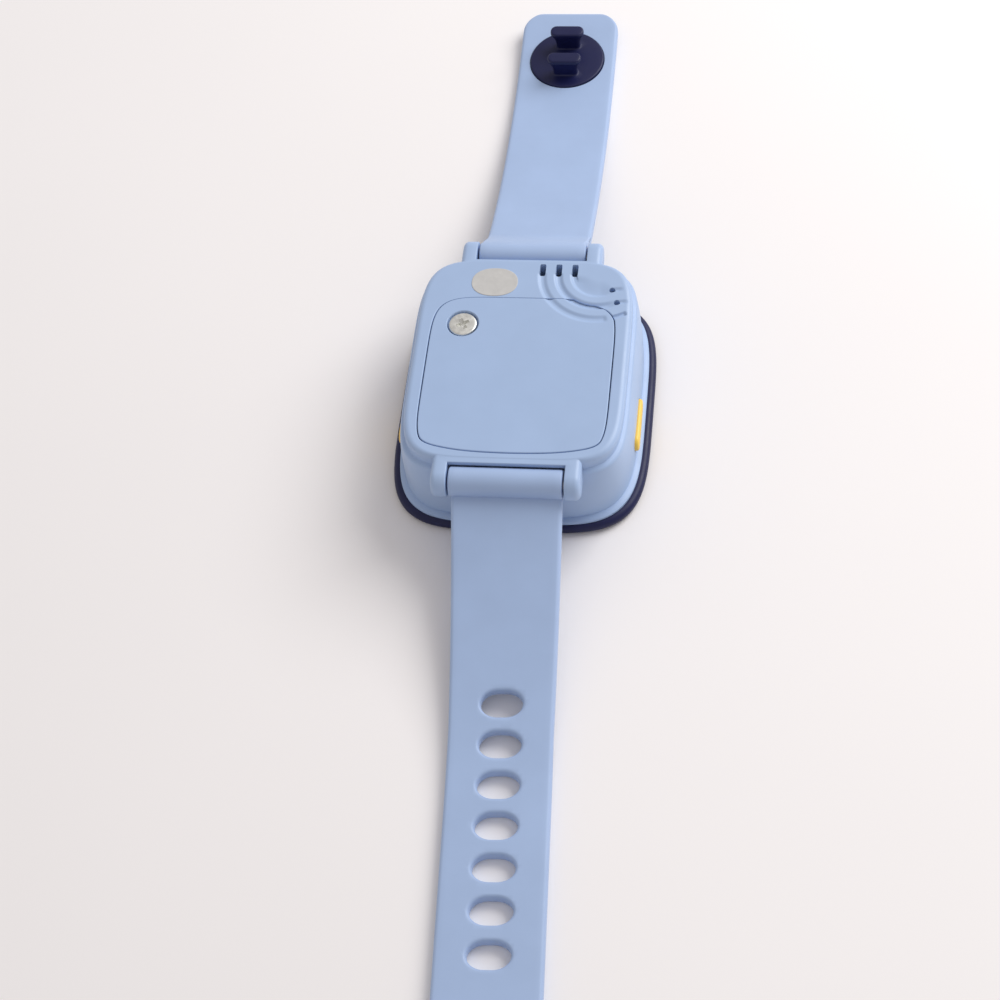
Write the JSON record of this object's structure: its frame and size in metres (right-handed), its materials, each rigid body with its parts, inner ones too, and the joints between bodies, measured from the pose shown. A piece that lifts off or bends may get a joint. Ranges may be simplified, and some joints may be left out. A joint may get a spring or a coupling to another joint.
{
  "type": "toy wrist watch",
  "caption": "Toy wrist watch lying face down with its straps open: soft-cornered case with a battery door, speaker slots and side buttons, and straps with a peg clasp.",
  "frame": {"origin": "middle of the front face, on the table that the watch lies on face down", "axes": "+X to the right seen from the back, +Y towards the short strap, +Z from the front to the back of the case"},
  "size_m": [0.0472, 0.2354, 0.0177],
  "materials": {
    "case_plastic": "satin moulded plastic",
    "bezel_plastic": "satin moulded plastic",
    "lens": "clear polished plastic",
    "display": "dark glossy panel",
    "ribbon": "thin film",
    "board": "coated laminate",
    "dark_plastic": "plain",
    "speaker": "plain",
    "lead": "insulated lead",
    "steel": "plated",
    "sticker": "paper film",
    "button": "moulded plastic",
    "strap": "soft matte",
    "clasp": "satin moulded plastic"
  },
  "bodies": {
    "case": {"rear_case": "case_plastic", "bezel": "bezel_plastic", "lens": "lens", "display_module": "display", "display_ribbon": "ribbon", "circuit_board": "board", "chip": "dark_plastic", "button_switches": "dark_plastic", "speaker": "speaker", "speaker_leads": "lead", "coin_cell": "steel", "contact_positive": "steel", "contact_negative": "steel", "case_screws": "steel", "strap_pin_long": "steel", "strap_pin_short": "steel", "quality_sticker": "sticker"},
    "door": {"battery_door": "case_plastic"},
    "screw": {"door_screw": "steel", "screw_clip": "steel"},
    "strap_long": {"strap_long": "strap"},
    "strap_short": {"strap_short": "strap", "clasp_stud": "clasp", "clasp_cap": "clasp"},
    "button_left": {"side_button_left": "button"},
    "button_right": {"side_button_right": "button"}
  },
  "joints": [
    {"name": "strap_long_swing", "type": "hinge", "parent": "case", "child": "strap_long", "pos_m": [0, -0.0257, 0.0148], "axis": [-1, 0, 0], "range_deg": [-38, 112]},
    {"name": "strap_short_swing", "type": "hinge", "parent": "case", "child": "strap_short", "pos_m": [0, 0.0257, 0.0148], "axis": [1, 0, 0], "range_deg": [-38, 112]},
    {"name": "door_lift", "type": "hinge", "parent": "case", "child": "door", "pos_m": [0, -0.0215, 0.0176], "axis": [1, 0, 0], "range_deg": [0, 70]},
    {"name": "door_screw_turn", "type": "hinge", "parent": "door", "child": "screw", "pos_m": [-0.0111, 0.00735, 0.0176], "axis": [0, 0, 1], "continuous": true},
    {"name": "button_left_press", "type": "slide", "parent": "case", "child": "button_left", "axis": [1, 0, 0], "range_m": [0, 0.0006], "stiffness_N_per_m": 1500},
    {"name": "button_right_press", "type": "slide", "parent": "case", "child": "button_right", "axis": [-1, 0, 0], "range_m": [0, 0.0006], "stiffness_N_per_m": 1500}
  ]
}
